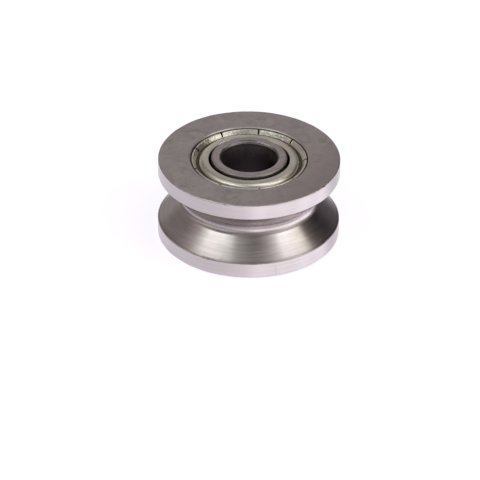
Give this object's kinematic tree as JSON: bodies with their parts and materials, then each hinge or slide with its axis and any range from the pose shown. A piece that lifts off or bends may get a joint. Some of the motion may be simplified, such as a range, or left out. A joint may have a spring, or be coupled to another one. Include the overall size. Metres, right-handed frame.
{
  "type": "v groove bearing wheel",
  "caption": "Small steel ball bearing whose outer ring is a V grooved guide wheel, with a plain bore and pressed metal shields on both sides.",
  "frame": {"origin": "centre of the wheel: on the bore's axis, in the groove's middle plane, halfway between the wheel's two faces", "axes": "+Z along the bore's axis, out of the upper face; the wheel stands on the inner ring's lower face with the axis vertical; +X and +Y are any two perpendicular radii"},
  "size_m": [0.013, 0.013, 0.0062],
  "materials": {
    "ground_steel": "hardened bearing steel, faces and rim lands ground, groove turned and ground around the axis",
    "hub_steel": "hardened bearing steel, ground face, honed bore",
    "shield_sheet": "pressed steel sheet, satin, faintly warm",
    "cage_sheet": "pressed steel strip",
    "ball_steel": "lapped bearing steel, mirror"
  },
  "bodies": {
    "hub": {"inner_ring": "hub_steel"},
    "wheel": {"grooved_outer_ring": "ground_steel", "upper_shield": "shield_sheet", "lower_shield": "shield_sheet"},
    "cage": {"cage_upper_half": "cage_sheet", "cage_lower_half": "cage_sheet"},
    "rolling_ball_1": {"ball_1": "ball_steel"},
    "rolling_ball_2": {"ball_2": "ball_steel"},
    "rolling_ball_3": {"ball_3": "ball_steel"},
    "rolling_ball_4": {"ball_4": "ball_steel"},
    "rolling_ball_5": {"ball_5": "ball_steel"},
    "rolling_ball_6": {"ball_6": "ball_steel"},
    "rolling_ball_7": {"ball_7": "ball_steel"}
  },
  "joints": [
    {"name": "wheel_spin", "type": "hinge", "parent": "hub", "child": "wheel", "pos_m": [0, 0, 0], "axis": [0, 0, 1], "continuous": true},
    {"name": "cage_orbit", "type": "hinge", "parent": "hub", "child": "cage", "pos_m": [0, 0, 0], "axis": [0, 0, 1], "continuous": true},
    {"name": "ball_1_roll", "type": "hinge", "parent": "cage", "child": "rolling_ball_1", "pos_m": [0.00323, 0.00069, 0], "axis": [0, 0, 1], "continuous": true},
    {"name": "ball_2_roll", "type": "hinge", "parent": "cage", "child": "rolling_ball_2", "pos_m": [0.00148, 0.00295, 0], "axis": [0, 0, 1], "continuous": true},
    {"name": "ball_3_roll", "type": "hinge", "parent": "cage", "child": "rolling_ball_3", "pos_m": [-0.00139, 0.00299, 0], "axis": [0, 0, 1], "continuous": true},
    {"name": "ball_4_roll", "type": "hinge", "parent": "cage", "child": "rolling_ball_4", "pos_m": [-0.00321, 0.00078, 0], "axis": [0, 0, 1], "continuous": true},
    {"name": "ball_5_roll", "type": "hinge", "parent": "cage", "child": "rolling_ball_5", "pos_m": [-0.00261, -0.00202, 0], "axis": [0, 0, 1], "continuous": true},
    {"name": "ball_6_roll", "type": "hinge", "parent": "cage", "child": "rolling_ball_6", "pos_m": [-0.00005, -0.0033, 0], "axis": [0, 0, 1], "continuous": true},
    {"name": "ball_7_roll", "type": "hinge", "parent": "cage", "child": "rolling_ball_7", "pos_m": [0.00255, -0.0021, 0], "axis": [0, 0, 1], "continuous": true}
  ],
  "couplings": [
    {"joint": "cage_orbit", "follows": "wheel_spin", "ratio": 0.6203},
    {"joint": "ball_1_roll", "follows": "wheel_spin", "ratio": 1.9578},
    {"joint": "ball_2_roll", "follows": "wheel_spin", "ratio": 1.9578},
    {"joint": "ball_3_roll", "follows": "wheel_spin", "ratio": 1.9578},
    {"joint": "ball_4_roll", "follows": "wheel_spin", "ratio": 1.9578},
    {"joint": "ball_5_roll", "follows": "wheel_spin", "ratio": 1.9578},
    {"joint": "ball_6_roll", "follows": "wheel_spin", "ratio": 1.9578},
    {"joint": "ball_7_roll", "follows": "wheel_spin", "ratio": 1.9578}
  ]
}
